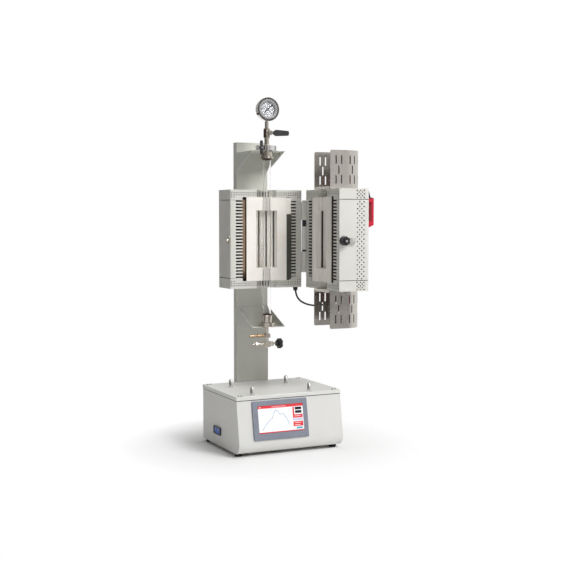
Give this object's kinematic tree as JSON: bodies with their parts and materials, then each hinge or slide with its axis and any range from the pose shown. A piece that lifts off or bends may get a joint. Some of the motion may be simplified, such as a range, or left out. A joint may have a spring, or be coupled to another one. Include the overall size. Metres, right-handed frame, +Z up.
{
  "type": "tube furnace",
  "caption": "Vertical split tube furnace on a bench controller base, with a hinged door, glass work tube, seal flanges, shut-off valve and pressure gauge.",
  "frame": {"origin": "middle of the base footprint, on the bench", "axes": "+Z up along the work tube, -Y towards the operator, +X towards the side on which the door opens"},
  "size_m": [0.4107, 0.4009, 1.056],
  "materials": {
    "case_powder": "satin",
    "lid_powder": "satin",
    "mast_powder": "satin",
    "bracket_powder": "satin",
    "furnace_powder": "satin",
    "face_powder": "satin",
    "black_steel": "satin",
    "foot_rubber": "matte",
    "seal_rubber": "matte",
    "chrome": "polished",
    "bezel_grey": "satin",
    "screen": "gloss",
    "black_plastic": "satin",
    "blue_plastic": "satin",
    "switch_red": "gloss",
    "transformer_iron": "satin",
    "controller_aluminium": "satin",
    "zinc_steel": "satin",
    "stainless": "satin",
    "guard_stainless": "polished",
    "element": "matte",
    "fibre": "matte",
    "handle_red": "gloss",
    "lead_red": "satin",
    "cable_black": "satin",
    "quartz": "gloss",
    "gauge_steel": "polished",
    "dial_white": "matte",
    "needle_black": "matte",
    "gauge_glass": "gloss"
  },
  "bodies": {
    "stand": {"base_case": "case_powder", "base_lid": "lid_powder", "bottom_bracket": "bracket_powder", "door_cable": "cable_black", "flange_clamp": "chrome", "gauge_case": "gauge_steel", "gauge_dial": "dial_white", "gauge_glass": "gauge_glass", "hinge_pin": "black_steel", "hinge_rings": "black_plastic", "latch_catch": "chrome", "lid_posts": "chrome", "lid_screws": "black_steel", "lower_flange": "stainless", "mast": "mast_powder", "mast_bolts": "zinc_steel", "needle_valve": "stainless", "outlet_tee": "stainless", "power_controller": "controller_aluminium", "power_inlet": "black_plastic", "quartz_tube": "quartz", "rear_casing": "furnace_powder", "rear_end_caps": "furnace_powder", "rear_face": "face_powder", "rear_gland": "black_plastic", "rear_heaters": "element", "rear_hinge_leaves": "furnace_powder", "rear_insulation": "fibre", "rear_panel": "case_powder", "rubber_feet": "foot_rubber", "screen_bezel": "bezel_grey", "screen_glass": "screen", "seal_rings": "seal_rubber", "shutoff_valve": "stainless", "thermocouple": "stainless", "top_bracket": "bracket_powder", "transformer": "transformer_iron", "upper_flange": "stainless", "usb_core": "blue_plastic", "usb_frame": "black_plastic"},
    "door": {"door_casing": "furnace_powder", "door_end_caps": "furnace_powder", "door_face": "face_powder", "door_heaters": "element", "door_insulation": "fibre", "door_hinge_leaf": "furnace_powder", "latch_base": "chrome", "door_handle": "handle_red", "tube_guards": "guard_stainless", "door_end_plugs": "fibre", "heater_leads": "lead_red", "door_gland": "black_plastic"},
    "latch": {"latch_hook": "chrome", "latch_knob": "black_plastic"},
    "lever": {"valve_lever": "stainless", "lever_sleeve": "black_plastic"},
    "clamp_wing": {"wing_nut": "stainless"},
    "regulating_knob": {"star_knob": "black_plastic"},
    "pointer": {"gauge_needle": "needle_black"},
    "rocker": {"switch_rocker": "switch_red"}
  },
  "joints": [
    {"name": "door_hinge", "type": "hinge", "parent": "stand", "child": "door", "pos_m": [0.1275, 0.026, 0.6275], "axis": [0, 0, 1], "range_deg": [-87, 25], "deforming": ["door_cable"]},
    {"name": "latch_turn", "type": "hinge", "parent": "door", "child": "latch", "pos_m": [0.13255, -0.2216, 0.625], "axis": [-0.0523, -0.9986, 0], "range_deg": [0, 180]},
    {"name": "valve_lever_turn", "type": "hinge", "parent": "stand", "child": "lever", "pos_m": [0, -0.001, 0.9485], "axis": [0, 1, 0], "range_deg": [0, 90]},
    {"name": "clamp_wing_turn", "type": "hinge", "parent": "stand", "child": "clamp_wing", "pos_m": [-0.029, 0.002, 0.904], "axis": [0, -1, 0], "range_deg": [0, 720]},
    {"name": "regulating_knob_turn", "type": "hinge", "parent": "stand", "child": "regulating_knob", "pos_m": [0.04, 0.026, 0.305], "axis": [1, 0, 0], "range_deg": [-720, 720]},
    {"name": "pointer_swing", "type": "hinge", "parent": "stand", "child": "pointer", "pos_m": [0, 0.0192, 1.0205], "axis": [0, -1, 0], "range_deg": [-85, 185], "stiffness_Nm_per_rad": 0.002},
    {"name": "rocker_tip", "type": "hinge", "parent": "stand", "child": "rocker", "pos_m": [0.112, 0.1308, 0.074], "axis": [1, 0, 0], "range_deg": [0, 24]}
  ]
}
